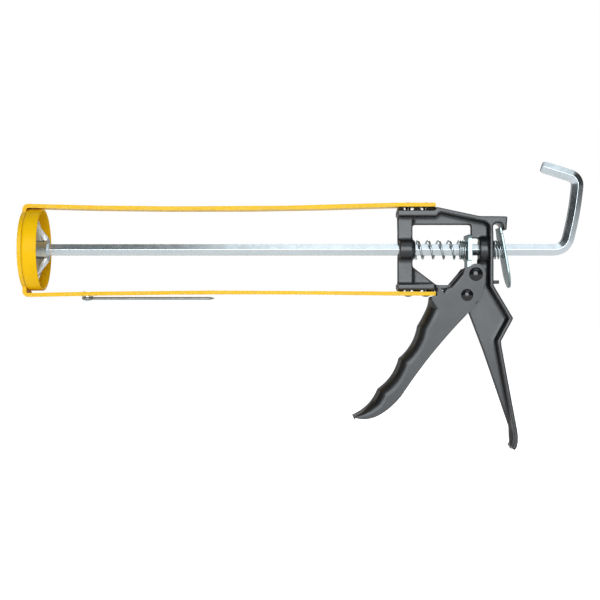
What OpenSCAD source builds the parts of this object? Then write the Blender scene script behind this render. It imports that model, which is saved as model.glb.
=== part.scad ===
// Open-frame caulking gun for one standard cartridge.
// The rod runs along X, the nozzle points to -X and the handle hangs to -Z.
// The origin is the centre of the nozzle hole, on the cradle's front face.

/* [Cradle] */
// Length of the cradle, from its front face to the strap's rear ends
cradle_len = 253.8; // [215:0.1:310]
// Width of the strap
strap_w = 16; // [12:0.5:16.4]
// Thickness of the strap
strap_t = 2.4; // [2:0.1:2.8]
// Gap between the front cup and the top run
top_gap = 0.4; // [0.4:0.1:2]
// Gap between the front cup and the bottom run
bottom_gap = 1.6; // [0.4:0.1:2.5]
// Inward bow of the top run at its middle
top_bow = 2; // [0:0.1:2.2]
// Inward bow of the bottom run at its middle
bottom_bow = 1.2; // [0:0.1:2]
// Outer radius of the strap's two front bends
front_bend_r = 3.6; // [3.2:0.2:6]
// Radius of the round eye in the front plate
eye_r = 24.4; // [16:0.1:24.8]
// Radius of the nozzle hole
nozzle_r = 12; // [9:0.5:14]

/* [Front cup] */
// Outer radius of the cup's ring
cup_r = 25.3; // [22:0.1:30]
// Depth of the cup, along the rod
cup_depth = 9.3; // [8:0.1:14]
// Thickness of the cup's sheet
cup_t = 1.2; // [1:0.1:2]
// Radius of the opening in the cup's front flange
cup_hole_r = 16; // [14:0.5:19]

/* [Casting] */
// Length of the casting, from its front wall to its rear wall's outer face
frame_len = 58.3; // [54:0.1:70]
// How far the strap's ends reach back over the casting
strap_lap = 22.9; // [21:0.1:24]
// Height of the top flange above the rod
frame_top = 24; // [22:0.1:28]
// Depth of the bottom flange below the rod
frame_bottom = 24.9; // [24:0.1:28]
// Half the width of the flanges
flange_half_w = 10; // [9:0.5:12]
// Thickness of the top and bottom flanges
flange_t = 3.5; // [2.5:0.1:4]
// Thickness of the rear wall and of the handle's back flange
back_t = 2.4; // [2:0.1:3]
// Thickness of the web in the middle plane
web_t = 4; // [3:0.1:6]
// Length of the front column, along the rod
column_len = 9.2; // [8:0.1:12]
// Half the width of the front column
column_half_w = 3; // [3:0.5:8]
// Height of the pads between the top flange and the strap
top_pad = 2.3; // [1:0.1:3]
// Height of the pads between the bottom flange and the strap
bottom_pad = 1.1; // [1:0.1:3]
// Wall around the rod's bore in the front boss
front_boss_wall = 2.9; // [2:0.1:4]
// Wall around the rod's bore in the rear boss
rear_boss_wall = 3.8; // [2:0.1:4.5]
// Length of the handle below its waist
handle_len = 64.2; // [54:0.1:78]

/* [Strap rivets] */
// Radius of the strap rivets' shanks
strap_rivet_r = 1.6; // [1.2:0.1:1.9]
// Radius of the strap rivets' heads
strap_rivet_head_r = 2.7; // [2.4:0.1:3.2]
// Distance between the two rivets of a pair
strap_rivet_pitch = 10.9; // [8:0.1:12]

/* [Push rod] */
// Size of the hexagon rod across its flats
rod_af = 7; // [5.8:0.1:8.4]
// Centreline radius of the rod's first bend
hook_bend_r = 9; // [8:0.5:12]
// Centreline radius of the rod's second bend
hook_top_bend_r = 6; // [5:0.5:8]
// Length of the hook's short top arm
hook_arm_len = 18.7; // [15:0.1:24]

/* [Piston] */
// Radius of the pusher disc
disc_r = 19.5; // [17:0.1:21]
// Thickness of the pusher disc
disc_t = 1.5; // [1:0.1:2]
// Thickness of the spider's sheet
spider_t = 1.4; // [1:0.1:2]
// Width of the spider's four arms
spider_arm_w = 9; // [7:0.5:12]
// Radius of the rod's threaded stud
stud_r = 3; // [2.5:0.1:3.2]
// Size of the piston nut across its flats
nut_af = 10; // [9:0.5:12]
// Height of the piston nut
nut_h = 5.5; // [4:0.1:6]
// Thickness of the piston washer
washer_t = 1.6; // [1:0.1:2]

/* [Drive] */
// Thickness of the drive plate
drive_plate_t = 2.5; // [2:0.1:3]
// Half the width of the drive plate's body
drive_plate_half_w = 12; // [10:0.5:14]
// Height of the drive plate above the rod
drive_plate_top = 9; // [8:0.1:12]
// Wire diameter of the drive spring
drive_wire = 1.2; // [1:0.1:1.4]
// Open turns of the drive spring
drive_turns = 4; // [3:1:5]
// Closed turns of the drive spring, against the drive plate
drive_closed_turns = 2.5; // [1:0.5:3]
// Thickness of the release plate
release_plate_t = 1.4; // [1.2:0.1:2.6]
// Half the width of the release plate
release_half_w = 10.5; // [8:0.5:12]
// Lean of the release plate at rest
release_tilt = 10; // [8:0.5:11]
// Wire diameter of the release spring
release_wire = 0.8; // [0.6:0.1:1]
// Turns of the release spring
release_turns = 2.5; // [2:0.5:3]

/* [Trigger] */
// Half the width of the trigger
trigger_half_w = 9.8; // [9.2:0.1:11]
// Sheet thickness of the trigger
trigger_t = 1.4; // [1.2:0.1:1.8]
// Length of the trigger from its pivot to its tip
trigger_len = 102.4; // [85:0.1:123]
// Distance along the trigger from its pivot to its first finger crest
crest_start = 34.4; // [32:0.1:38]
// Distance between the finger crests
crest_pitch = 22.5; // [19:0.1:24]
// Depth of the finger grooves
groove_depth = 2.2; // [1:0.1:3]
// Radius of the trigger pivot rivet's shank
pivot_r = 2.2; // [1.8:0.1:2.6]
// Radius of the trigger pivot rivet's heads
pivot_head_r = 3.7; // [3.2:0.1:4.4]
// Radius of the drive pin's shank
drive_pin_r = 1.6; // [1.2:0.1:1.8]
// Radius of the sleeve on the drive pin
sleeve_r = 2.45; // [2.3:0.05:3]
// Radius of the drive pin's heads
drive_pin_head_r = 4.2; // [3.4:0.1:4.8]

/* [Piercing wire] */
// Diameter of the seal-piercing wire
pierce_wire = 1.7; // [1.4:0.1:2]
// Distance from the front face to the wire's pivot
pierce_x = 38.8; // [30:0.1:60]
// Length of the wire from its pivot to its tip
pierce_len = 78.7; // [60:0.1:95]

/* [Fits] */
// Radial clearance of the hinge pins
pin_fit = 0.05; // [0.02:0.01:0.1]
// Radial clearance of the rod in its two bores
rod_fit = 0.1; // [0.05:0.01:0.1]
// Gap between the rod's flats and the drive plate's hole
drive_gap = 0.35; // [0.3:0.05:0.6]
// Gap between the rod's flats and the release plate's hole
release_gap = 0.65; // [0.55:0.05:0.8]
// Gap between parts that move past each other
slip = 0.3; // [0.25:0.05:0.5]

/* [Hidden] */
$fn = 48;

yellow = [0.98, 0.78, 0.06];
black = [0.07, 0.07, 0.075];
zinc = [0.78, 0.81, 0.83];

// Where the casting starts, and the heights of its flanges' faces.
frame_x = cradle_len - strap_lap;
top_front_z = cup_r + top_gap + strap_t;
bottom_front_z = cup_r + bottom_gap + strap_t;
top_flange_in = frame_top - flange_t;
bottom_flange_in = frame_bottom - flange_t;
top_rear_z = frame_top + top_pad + strap_t;
bottom_rear_z = frame_bottom + bottom_pad + strap_t;
rivet_x = frame_x + 6.6;

// The rod's round bores clear its corners.
rod_corner = rod_af / sqrt(3);
rod_bore = rod_corner + rod_fit;
front_boss_r = rod_bore + front_boss_wall;
rear_boss_r = rod_bore + rear_boss_wall;

// Rod stack, from the front: peened end, disc, nut, washer, spider hub, rod shoulder.
disc_x = 4.6;
nut_x = disc_x + disc_t;
washer_x = nut_x + nut_h;
hub_x = washer_x + washer_t;
shoulder_x = hub_x + spider_t;
hub_r = 6.6;
spider_r = disc_r - disc_t - 0.2;

// Hook: the rod runs straight to the first bend, then leans, then turns forward.
hook_x = frame_x + frame_len + 38.6;
hook_lean = 75;
hook_sweep_r = 192;
hook_sweep = 10;
hook_top_turn = 77.3;

// Front seat of the drive spring, and the window that it works in.
spring_seat_x = frame_x + column_len + 1.8;
window_x = frame_x + column_len;
window_rear = frame_x + frame_len - 13.1;
window_top = 15.3;
window_low = bottom_flange_in + 0.4;
drive_plate_x = window_rear - slip - drive_plate_t;
spring_r = rod_corner + 0.95 + drive_wire / 2;

// Trigger pivot, drive pin, and the trigger's own direction.
pivot = [frame_x + frame_len - 16.3, -28];
drive_pin = [drive_plate_x + drive_plate_t + sleeve_r + pin_fit, -15.2];
trigger_angle = -133;
trigger_inner = trigger_half_w - trigger_t;
front_wall_top = -bottom_rear_z - 1.4;
lip_half_gap = 4.8;
lip_end = 3.5;

// Rear boss, hook slot for the release plate, and the plate's plane.
rear_x = frame_x + frame_len;
rear_boss_x = rear_x + 0.7;
release_pivot = [rear_x + 3.6, 13.4];
release_len = 37.8;
stop_pin_z = -20;

// Piercing wire stack below the bottom run.
pierce_washer_t = 0.6;
pierce_washer_r = 3.6;
pierce_slack = 0.03;
pierce_taper = 2.5;
pierce_strap_z = -bottom_run_z(pierce_x - pierce_washer_r) - pierce_slack;
pierce_rivet_r = 1.7;
pierce_z = pierce_strap_z - pierce_washer_t - pin_fit - pierce_wire / 2;

// ---- helpers ----

function unit(v) = v / norm(v);
function left(v) = [-v[1], v[0]];
function last(v) = v[len(v) - 1];
function arc(c, r, a, b, n = 8) =
    [for (i = [0:n]) let (turn = a + (b - a) * i / n) c + r * [cos(turn), sin(turn)]];
function bezier(a, c, b, n = 8) =
    [for (i = [0:n]) let (t = i / n) (1 - t) * (1 - t) * a + 2 * t * (1 - t) * c + t * t * b];
// Joins lists of points end to end, leaving out each list's repeated first point.
function join(lists) =
    [for (i = [0:len(lists) - 1]) for (j = [(i == 0 ? 0 : 1):len(lists[i]) - 1]) lists[i][j]];
// The mitred sideways step at point i of a path.
function side(p, i) =
    let (a = i == 0 ? left(unit(p[1] - p[0])) : left(unit(p[i] - p[i - 1])),
        b = i == len(p) - 1 ? a : left(unit(p[i + 1] - p[i])), m = unit(a + b))
    m / (m * b);
// Distance of a run's outer face from the rod: bowed inwards by a parabola, then level over the casting.
function run_z(front, rear, bow, x) =
    let (u = min(x / frame_x, 1)) front + (rear - front) * u - 4 * bow * u * (1 - u);
function top_run_z(x) = run_z(top_front_z, top_rear_z, top_bow, x);
function bottom_run_z(x) = run_z(bottom_front_z, bottom_rear_z, bottom_bow, x);

// A band of thickness t on the left of a path.
module band(path, t) {
    polygon(concat(path, [for (i = [len(path) - 1:-1:0]) path[i] + t * side(path, i)]));
}

// Stands a flat XZ outline up and gives it a width across Y, centred on the middle plane.
module across(w) {
    rotate([90, 0, 0]) linear_extrude(w, center = true) children();
}

module along_x(x) {
    translate([x, 0, 0]) rotate([90, 0, 90]) children();
}

// Turns a shape's Z axis to lie across the gun at a place in the XZ plane.
module crosswise(place) {
    translate([place[0], 0, place[1]]) rotate([90, 0, 0]) children();
}

// A hexagon with its corners up and down the second axis.
module hexagon(af) {
    rotate(90) circle(r = af / sqrt(3), $fn = 6);
}

// A low domed rivet head of radius r and height h, standing on Z = 0.
module dome(r, h) {
    ball = (r * r + h * h) / (2 * h);
    rotate_extrude() intersection() {
        translate([0, h - ball]) circle(r = ball, $fn = 96);
        square([r, h]);
    }
}

// A rivet along Z: a dome past z0 and past z1, and a shank that reaches into both.
module rivet(r, head_r, head_h, z0, z1) {
    reach = head_h / 6;
    translate([0, 0, z0 - reach]) cylinder(r = r, h = z1 - z0 + 2 * reach);
    translate([0, 0, z1]) dome(head_r, head_h);
    translate([0, 0, z0]) mirror([0, 0, 1]) dome(head_r, head_h);
}

// A wire of radius w swept through rings: each ring has a centre, an outward and a sideways direction.
module wire_tube(rings, w, sides = 8) {
    n = len(rings);
    points = [for (g = rings) for (k = [0:sides - 1])
        g[0] + w * (cos(360 * k / sides) * g[1] + sin(360 * k / sides) * g[2])];
    walls = [for (i = [0:n - 2]) for (k = [0:sides - 1]) let (j = (k + 1) % sides)
        [i * sides + k, i * sides + j, (i + 1) * sides + j, (i + 1) * sides + k]];
    caps = [[for (k = [sides - 1:-1:0]) k], [for (k = [0:sides - 1]) (n - 1) * sides + k]];
    polyhedron(points, concat(caps, walls), convexity = 6);
}

// ---- cradle ----

// The strap's outer face, from the top run's rear end round the front to the bottom run's rear end.
function run_stations() = concat([for (i = [1:10]) frame_x * i / 10], [cradle_len]);
function strap_path() = concat(
    [for (i = [10:-1:0]) let (x = run_stations()[i]) [x, top_run_z(x)]],
    arc([front_bend_r, top_run_z(front_bend_r) - front_bend_r], front_bend_r, 90, 180),
    arc([front_bend_r, front_bend_r - bottom_run_z(front_bend_r)], front_bend_r, 180, 270),
    [for (x = run_stations()) [x, -bottom_run_z(x)]]);

module strap_rivet_places() {
    for (i = [0, 1]) translate([rivet_x + i * strap_rivet_pitch, 0, 0]) children();
}

module cradle_strap() {
    color(yellow) difference() {
        union() {
            across(strap_w) band(strap_path(), strap_t);
            along_x(0) cylinder(r = eye_r, h = strap_t);
        }
        along_x(-1) cylinder(r = nozzle_r, h = strap_t + 2);
        strap_rivet_places() cylinder(r = strap_rivet_r, h = 2 * bottom_rear_z + 20, center = true);
        translate([pierce_x, 0, -bottom_front_z - 5]) cylinder(r = pierce_rivet_r, h = 15);
    }
}

module front_cup() {
    corner_r = front_bend_r - strap_t + 0.6;
    corner = [cup_r - corner_r, corner_r];
    color(yellow) along_x(strap_t) rotate_extrude($fn = 96)
        polygon(concat([[cup_hole_r, 0]], arc(corner, corner_r, -90, 0), [[cup_r, cup_depth],
            [cup_r - cup_t, cup_depth]], arc(corner, corner_r - cup_t, 0, -90), [[cup_hole_r, cup_t]]));
}

module strap_rivets_upper() {
    color(black) strap_rivet_places() {
        translate([0, 0, top_flange_in + 0.6])
            cylinder(r = strap_rivet_r, h = top_rear_z - top_flange_in - 0.6);
        translate([0, 0, top_rear_z]) dome(strap_rivet_head_r, 0.8);
    }
}

module strap_rivets_lower() {
    color(black) strap_rivet_places() mirror([0, 0, 1]) {
        translate([0, 0, bottom_flange_in + 0.6])
            cylinder(r = strap_rivet_r, h = bottom_rear_z - bottom_flange_in - 0.6);
        translate([0, 0, bottom_rear_z]) dome(strap_rivet_head_r, 0.8);
    }
}

// ---- casting ----

// The outer edge of the casting's back, from the hook slot down to the handle's waist.
rear_edge = [[rear_x, 17], [rear_x, -22], [rear_x + 12.1, -42.4], [rear_x + 4.5, -56.4],
    [rear_x + 4.9, -59.6]];
waist = last(rear_edge);
handle_angle = -79.4;

// A point on the handle below its waist: s down its length, d towards its back.
function grip(s, d) = waist + s * [cos(handle_angle), sin(handle_angle)]
    + d * [-sin(handle_angle), cos(handle_angle)];

handle_back = concat(rear_edge,
    bezier(grip(handle_len - 12, 0), grip(handle_len - 2, -0.4), grip(handle_len, -4)));

// The handle's front edge, from the tip up to the web below the trigger's pivot.
handle_front = [grip(handle_len - 0.8, -5.6), grip(handle_len - 5, -5), grip(handle_len - 14.4, -3.7),
    grip(0.6, -10.8), pivot + [2, -11.2]];

top_edge = [[frame_x - 0.4, frame_top], [cradle_len - 0.6, frame_top], [cradle_len + 0.3, frame_top + 2.1],
    [frame_x + 49.5, frame_top - 3.5], [rear_x + 8.5, frame_top - 3.7]];

module casting_outline() {
    polygon(concat(top_edge, [[rear_x + 6.4, frame_top - 8], [rear_x, 17]],
        [for (i = [1:len(handle_back) - 1]) handle_back[i]], handle_front,
        [pivot + [-5.5, -5.5], pivot + [-10, -frame_bottom + 28], [frame_x, -frame_bottom], [frame_x, 10]]));
}

module window_outline() {
    notch = pivot[0] + 7.3;
    polygon([[window_x, window_top], [window_rear, window_top], [window_rear, 7], [rear_x - 6.2, 7],
        [rear_x - 6.2, -5.7], [notch, -5.7], [notch, -9.5], [notch + 2.2, -11.5],
        [notch + 2.2, -window_low], [window_x + 14.9, -window_low], [window_x, -10.5]]);
}

// The inner face of the rear lip, which the release plate's top edge leans on.
lip_in = release_pivot[0] + release_plate_t / cos(release_tilt) + 1;

// The slot under the rear lip that holds the release plate's top edge.
module hook_slot_outline() {
    polygon([[rear_x - 0.3, 14.4], [rear_x + 1.2, 16.1], [lip_in - 1.8, 16.1], [lip_in, 14.2],
        [lip_in, 5], [rear_x, 5]]);
}

module hook_lip() {
    across(2 * flange_half_w) polygon([[lip_in, 11.7], [lip_in + 2, 11.7], [rear_x + 8.5, frame_top - 3.7],
        [lip_in - 2, frame_top - 3.7], [lip_in - 1.6, 16.1], [lip_in, 14.2]]);
}

module casting_flanges() {
    across(2 * flange_half_w) {
        polygon(concat(top_edge, [[rear_x + 6, 16.1], [rear_x + 1.2, 16.1], [rear_x, 14.4],
            [rear_x - back_t, 14.4], [rear_x - 4.6, 16.8], [frame_x + 25.7, frame_top - 1.3],
            [frame_x + 23.6, top_flange_in], [frame_x - 0.4, top_flange_in]]));
        polygon([[frame_x - 0.4, -frame_bottom], [cradle_len - 0.4, -frame_bottom],
            [cradle_len - 0.4, -bottom_flange_in], [frame_x - 0.4, -bottom_flange_in]]);
        band(handle_back, -back_t);
    }
}

// The pads stay on the level stretch of the strap, short of the flange's two ends.
module strap_pads() {
    pad = [3.2, strap_w - 2];
    for (x = [frame_x + 0.1, rivet_x + (strap_rivet_pitch - pad[0]) / 2, cradle_len - 0.5 - pad[0]]) {
        translate([x, -pad[1] / 2, frame_top - 1]) cube([pad[0], pad[1], top_pad + 1]);
        translate([x, -pad[1] / 2, -frame_bottom - bottom_pad]) cube([pad[0], pad[1], bottom_pad + 1]);
    }
}

module handle_casting() {
    color(black) difference() {
        union() {
            across(web_t) difference() {
                casting_outline();
                window_outline();
            }
            translate([frame_x, -column_half_w, -frame_bottom + 1])
                cube([column_len, 2 * column_half_w, frame_top + frame_bottom - 2]);
            casting_flanges();
            hook_lip();
            strap_pads();
            along_x(frame_x + 0.9) cylinder(r = front_boss_r, h = column_len - 0.9);
            along_x(frame_x + 0.9) cylinder(r = front_boss_r - 1.1, h = spring_seat_x - frame_x - 0.9);
            along_x(rear_x - 8) cylinder(r = rear_boss_r, h = rear_boss_x - rear_x + 8);
            crosswise(pivot)
                cylinder(r = pivot_r + 3.6, h = 2 * (trigger_inner - slip / 2), center = true);
        }
        along_x(frame_x - 1) cylinder(r = rod_bore, h = frame_len + 5);
        across(2 * flange_half_w + 2) hook_slot_outline();
        crosswise(pivot) cylinder(r = pivot_r, h = 40, center = true);
        strap_rivet_places() {
            translate([0, 0, top_flange_in + 0.6]) cylinder(r = strap_rivet_r, h = 10);
            translate([0, 0, -bottom_flange_in - 10.6]) cylinder(r = strap_rivet_r, h = 10);
        }
        translate([0, 0, stop_pin_z]) along_x(rear_x - 4) cylinder(r = 1.1, h = 10);
    }
}

module release_stop_pin() {
    color(black) translate([0, 0, stop_pin_z]) along_x(rear_x - 4) cylinder(r = 1.1, h = 8.6);
}

// ---- trigger ----

// A point on the trigger below its pivot: s down its length, d towards the fingers.
function lever(s, d) = pivot + s * [cos(trigger_angle), sin(trigger_angle)]
    + d * [sin(trigger_angle), -cos(trigger_angle)];

crest_height = [8.5, 3.4, 0.1, 0];
function crest(i) = i == 3 ? lever(trigger_len, 0) : lever(crest_start + i * crest_pitch, crest_height[i]);
function groove(i) = let (a = crest(i), b = crest(i + 1), n = left(unit(b - a)))
    bezier(a, (a + b) / 2 + 2 * groove_depth * n, b);

trigger_front = join([
    [pivot + [-1.4, 16.4], pivot + [-13.2, 2.4], pivot + [-13.7, 0.6], pivot + [-17.6, 6.1],
        pivot + [-18.4, -0.6], pivot + [-21.6, -1.2]],
    bezier(pivot + [-21.6, -1.2], lever(22, 11), crest(0)),
    groove(0), groove(1), groove(2)]);

trigger_rear = concat(
    bezier(lever(trigger_len, 0), lever(trigger_len - 5.4, -14), lever(trigger_len - 29.5, -12.8)),
    bezier(lever(trigger_len - 29.5, -12.8), lever(40, -7.2), lever(7.3, -8)),
    [pivot + [7.2, -3.6], pivot + [10.1, 2], pivot + [11.5, 7.2]],
    arc(drive_pin, 6.4, -10, 100));

module trigger_outline() {
    polygon(concat(trigger_front, [for (i = [1:len(trigger_rear) - 1]) trigger_rear[i]]));
}

// The channel's hollow: the finger side moved in by the sheet's thickness, open to the back.
module trigger_hollow() {
    wall = trigger_t * [1.42, -0.2];
    tip_wall = 3;
    polygon(concat([for (i = [0:len(trigger_front) - 2]) trigger_front[i] + wall],
        [lever(trigger_len - tip_wall, -1), lever(trigger_len, -30), pivot + [30, -30], pivot + [30, 30],
        trigger_front[0] + [wall[0], 30]]));
}

module trigger() {
    color(black) difference() {
        across(2 * trigger_half_w) trigger_outline();
        across(2 * trigger_inner) trigger_hollow();
        translate([pivot[0] - 30, -lip_half_gap, front_wall_top]) cube([60, 2 * lip_half_gap, 60]);
        translate([pivot[0] - lip_end, -trigger_inner, pivot[1]]) cube([60, 2 * trigger_inner, 60]);
        crosswise(pivot) cylinder(r = pivot_r + pin_fit, h = 40, center = true);
        crosswise(drive_pin) cylinder(r = drive_pin_r, h = 40, center = true);
    }
}

module cross_rivet(place, r, head_r, head_h) {
    color(black) crosswise(place)
        rivet(r, head_r, head_h, -trigger_half_w - pin_fit, trigger_half_w + pin_fit);
}

module trigger_pivot_rivet() {
    cross_rivet(pivot, pivot_r, pivot_head_r, 1.8);
}

module drive_pin_rivet() {
    cross_rivet(drive_pin, drive_pin_r, drive_pin_head_r, 2);
}

module drive_pin_sleeve() {
    color(zinc) crosswise(drive_pin) difference() {
        cylinder(r = sleeve_r, h = 2 * trigger_inner, center = true);
        cylinder(r = drive_pin_r, h = 40, center = true);
    }
}

// ---- rod and piston ----

// Each stretch of the rod: [straight length, bend angle, bend radius].
rod_stretches = [[hook_x - shoulder_x, hook_lean, hook_bend_r], [0, hook_sweep, hook_sweep_r],
    [0, hook_top_turn, hook_top_bend_r], [hook_arm_len, 0, 0]];
degrees_per_step = 5;
function heading(turn) = [cos(turn), sin(turn)];

// The rod's stations from stretch i on, each [place in the XZ plane, heading], starting after a place.
function rod_stations(i, at, turn) =
    let (s = rod_stretches[i], bend_start = at + s[0] * heading(turn),
        centre = bend_start + s[2] * heading(turn + 90), steps = ceil(s[1] / degrees_per_step),
        here = concat(s[0] > 0 ? [[bend_start, turn]] : [],
            [for (k = [1:1:steps]) let (now = turn + s[1] * k / steps)
                [centre + s[2] * heading(now - 90), now]]))
    i == len(rod_stretches) - 1 ? here : concat(here, rod_stations(i + 1, last(here)[0], last(here)[1]));

// The hexagon has two corners across the gun, so each ring starts at +Y.
function rod_rings() = [for (s = concat([[[shoulder_x, 0], 0]], rod_stations(0, [shoulder_x, 0], 0)))
    let (out = [0, 1, 0], along = [heading(s[1])[0], 0, heading(s[1])[1]])
    [[s[0][0], 0, s[0][1]], out, cross(out, along)]];

module push_rod() {
    color(zinc) {
        wire_tube(rod_rings(), rod_corner, 6);
        along_x(disc_x - 0.2) cylinder(r = stud_r, h = shoulder_x - disc_x + 0.4);
        translate([disc_x, 0, 0]) rotate([0, -90, 0]) dome(stud_r + 1.4, 1.1);
    }
}

module piston_disc() {
    color(zinc) along_x(disc_x) rotate_extrude($fn = 96) {
        translate([stud_r, 0]) square([disc_r - stud_r, disc_t]);
        translate([disc_r - disc_t, 0]) square([disc_t, disc_t + 1.4]);
    }
}

module piston_spider() {
    foot = 1.8;
    color(zinc) intersection() {
        along_x(0) rotate_extrude($fn = 96) polygon([[stud_r, hub_x], [hub_r, hub_x],
            [spider_r - foot, nut_x], [spider_r, nut_x], [spider_r, nut_x + spider_t],
            [spider_r - foot + 0.6, nut_x + spider_t], [hub_r + 0.7, shoulder_x], [stud_r, shoulder_x]]);
        union() {
            for (turn = [0, 90]) rotate([turn, 0, 0])
                translate([0, -spider_arm_w / 2, -spider_r]) cube([30, spider_arm_w, 2 * spider_r]);
            along_x(0) cylinder(r = hub_r + 0.6, h = 30);
        }
    }
}

module piston_washer() {
    color(zinc) along_x(washer_x) difference() {
        cylinder(r = hub_r - 0.2, h = washer_t);
        translate([0, 0, -1]) cylinder(r = stud_r, h = washer_t + 2);
    }
}

module piston_nut() {
    color(zinc) along_x(nut_x) difference() {
        linear_extrude(nut_h) hexagon(nut_af);
        translate([0, 0, -1]) cylinder(r = stud_r, h = nut_h + 2);
    }
}

// ---- drive and release plates ----

module drive_plate() {
    tongue_half_w = trigger_inner - 0.6;
    color(zinc) translate([drive_plate_x, 0, 0]) rotate([90, 0, 90]) difference() {
        linear_extrude(drive_plate_t) difference() {
            union() {
                intersection() {
                    circle(r = drive_plate_half_w + 1.6, $fn = 96);
                    translate([-drive_plate_half_w, -6.8])
                        square([2 * drive_plate_half_w, 6.8 + drive_plate_top]);
                }
                translate([-tongue_half_w, drive_pin[1] - 4]) square([2 * tongue_half_w, -drive_pin[1]]);
            }
            rotate(90) hexagon(rod_af + 2 * drive_gap);
        }
    }
}

// Ring frames of a coil about X: f gives the place along X at each turn count.
function coil_ring(x, turns, r, slope) =
    let (a = 360 * turns, out = [0, -sin(a), cos(a)],
        along = unit([slope, -2 * PI * r * cos(a), -2 * PI * r * sin(a)]))
    [[x, 0, 0] + r * out, out, cross(out, along)];

steps_per_turn = 20;

// The drive spring's open pitch, from the room between its seat and the drive plate.
drive_pitch_closed = drive_wire + 0.15;
drive_pitch_open = (drive_plate_x - spring_seat_x - drive_wire - 0.1
    - (drive_closed_turns + 0.5) * drive_pitch_closed) / drive_turns;
function drive_spring_x(t) = spring_seat_x + drive_wire / 2 + 0.05
    + drive_pitch_closed * (min(t, 0.5) + max(t - 0.5 - drive_turns, 0))
    + drive_pitch_open * max(min(t - 0.5, drive_turns), 0);

module drive_spring() {
    total = drive_turns + drive_closed_turns + 0.5;
    color(zinc) wire_tube([for (i = [0:total * steps_per_turn]) let (t = i / steps_per_turn)
        coil_ring(drive_spring_x(t), t + 0.5, spring_r,
            t < 0.5 || t > 0.5 + drive_turns ? drive_pitch_closed : drive_pitch_open)], drive_wire / 2);
}

// The release plate leans back from its top edge; its hole is a hexagon that clears the rod at every lean.
module release_plane() {
    translate([release_pivot[0], 0, release_pivot[1]]) rotate([0, -release_tilt, 0]) children();
}

module release_plate() {
    hole_down = release_pivot[1] / cos(release_tilt) + release_plate_t / 2 * tan(release_tilt);
    color(zinc) release_plane() rotate([90, 0, 90])
        linear_extrude(release_plate_t) difference() {
            union() {
                intersection() {
                    translate([0, release_half_w - release_len]) circle(r = release_half_w, $fn = 96);
                    translate([-20, -release_len]) square([40, release_half_w]);
                }
                translate([-release_half_w, release_half_w - release_len])
                    square([2 * release_half_w, release_len - release_half_w - 4]);
                translate([1.5 - release_half_w, -5]) square([2 * release_half_w - 3, 5]);
            }
            translate([0, -hole_down]) rotate(90) hexagon(rod_af + 2 * release_gap);
        }
}

// The plate's front face at height z, at rest.
function release_face(z) = release_pivot[0] + (release_pivot[1] - z) * tan(release_tilt);

release_spring_r = 5.6;
// The coil leans more and more towards the plate, so that its last turn lies along it.
module release_spring() {
    margin = release_wire / 2 + 0.1;
    color(zinc) wire_tube([for (i = [0:release_turns * steps_per_turn])
        let (t = i / steps_per_turn, z = release_spring_r * cos(360 * t), u = t / release_turns,
            x0 = rear_boss_x + margin, x1 = release_face(z) - margin - 0.1)
        coil_ring(x0 + u * (x1 - x0), t, release_spring_r, (x1 - x0) / release_turns)], release_wire / 2);
}

// ---- piercing wire ----

module piercing_wire() {
    eye_r = pierce_rivet_r + pin_fit + pierce_wire / 2;
    color(zinc) translate([pierce_x, 0, pierce_z]) {
        rotate_extrude() translate([eye_r, 0]) circle(r = pierce_wire / 2);
        along_x(eye_r) cylinder(r = pierce_wire / 2, h = pierce_len - eye_r - pierce_taper);
        along_x(pierce_len - pierce_taper) cylinder(r1 = pierce_wire / 2, r2 = 0.15, h = pierce_taper);
    }
}

module piercing_rivet() {
    head_r = 3.1;
    inner_z = strap_t - bottom_run_z(pierce_x + head_r);
    color(zinc) translate([pierce_x, 0, 0])
        rivet(pierce_rivet_r, head_r, 0.9, pierce_z - pierce_wire / 2 - pin_fit, inner_z);
}

module piercing_washer() {
    color(zinc) translate([pierce_x, 0, pierce_strap_z - pierce_washer_t]) difference() {
        cylinder(r = pierce_washer_r, h = pierce_washer_t);
        translate([0, 0, -1]) cylinder(r = pierce_rivet_r, h = 3);
    }
}

cradle_strap();
front_cup();
strap_rivets_upper();
strap_rivets_lower();
handle_casting();
trigger();
trigger_pivot_rivet();
drive_pin_rivet();
drive_pin_sleeve();
push_rod();
piston_disc();
piston_spider();
piston_washer();
piston_nut();
drive_plate();
drive_spring();
release_plate();
release_spring();
release_stop_pin();
piercing_wire();
piercing_rivet();
piercing_washer();
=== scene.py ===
"""The looks of an open-frame caulking gun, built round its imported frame. Settings are in metres, and
outlines are worked out in millimetres."""

import math

import bmesh
import bpy
import numpy as np
from bpy.props import FloatProperty, FloatVectorProperty, IntProperty, PointerProperty
from bpy.types import Operator, Panel, PropertyGroup
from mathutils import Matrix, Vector


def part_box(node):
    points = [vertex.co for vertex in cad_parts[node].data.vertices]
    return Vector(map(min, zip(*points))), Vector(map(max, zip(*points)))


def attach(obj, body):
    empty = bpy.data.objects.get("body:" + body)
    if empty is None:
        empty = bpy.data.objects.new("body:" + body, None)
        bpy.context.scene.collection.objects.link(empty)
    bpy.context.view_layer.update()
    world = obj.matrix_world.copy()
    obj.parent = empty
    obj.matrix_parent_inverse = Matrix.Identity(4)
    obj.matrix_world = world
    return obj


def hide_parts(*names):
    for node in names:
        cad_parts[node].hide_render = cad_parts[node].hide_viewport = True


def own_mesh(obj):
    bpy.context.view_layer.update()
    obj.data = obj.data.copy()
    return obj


bl_info = {
    "name": "Caulking Gun",
    "version": (1, 0, 0),
    "blender": (4, 5, 0),
    "location": "3D View > Sidebar > Caulking Gun",
    "description": "Builds the visible pieces, finishes and studio of an open-frame caulking gun",
    "category": "Object",
}

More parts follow.
